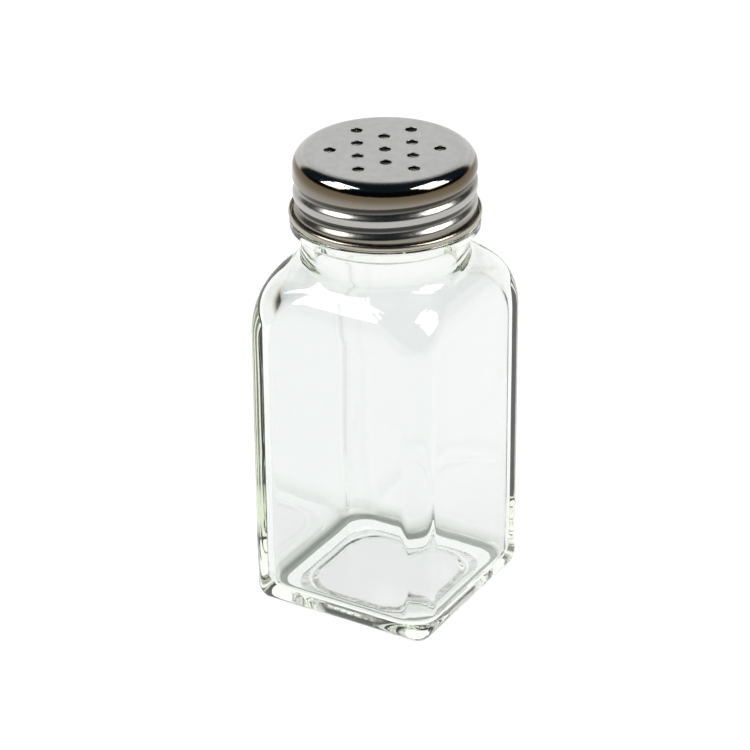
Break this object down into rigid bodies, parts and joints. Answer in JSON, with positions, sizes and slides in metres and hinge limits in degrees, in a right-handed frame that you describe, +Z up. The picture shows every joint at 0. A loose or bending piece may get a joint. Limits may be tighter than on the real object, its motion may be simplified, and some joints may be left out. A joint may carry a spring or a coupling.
{
  "type": "spice shaker",
  "caption": "Square clear-glass spice shaker with domed shoulders, a round threaded neck and a screw-on perforated metal cap.",
  "frame": {"origin": "on the jar's upright axis, at the surface it stands on", "axes": "+Z up the jar's axis, X and Y square to its flat sides"},
  "size_m": [0.044, 0.044, 0.1044],
  "materials": {
    "jar_glass": "clear pressed soda-lime glass with a faint green tint in thick places",
    "cap_steel": "drawn stainless sheet, satin top and polished edge"
  },
  "bodies": {
    "jar": {"jar": "jar_glass"},
    "hem": {"cap_hem": "cap_steel"},
    "cap": {"cap_shell": "cap_steel"}
  },
  "joints": [
    {"name": "cap_lift", "type": "slide", "parent": "jar", "child": "hem", "axis": [0, 0, 1], "range_m": [0, 0.02117]},
    {"name": "cap_turn", "type": "hinge", "parent": "hem", "child": "cap", "pos_m": [0, 0, 0.098], "axis": [0, 0, 1], "range_deg": [0, 1800]}
  ],
  "couplings": [
    {"joint": "cap_lift", "follows": "cap_turn", "m_per_rad": 0.0006737}
  ]
}
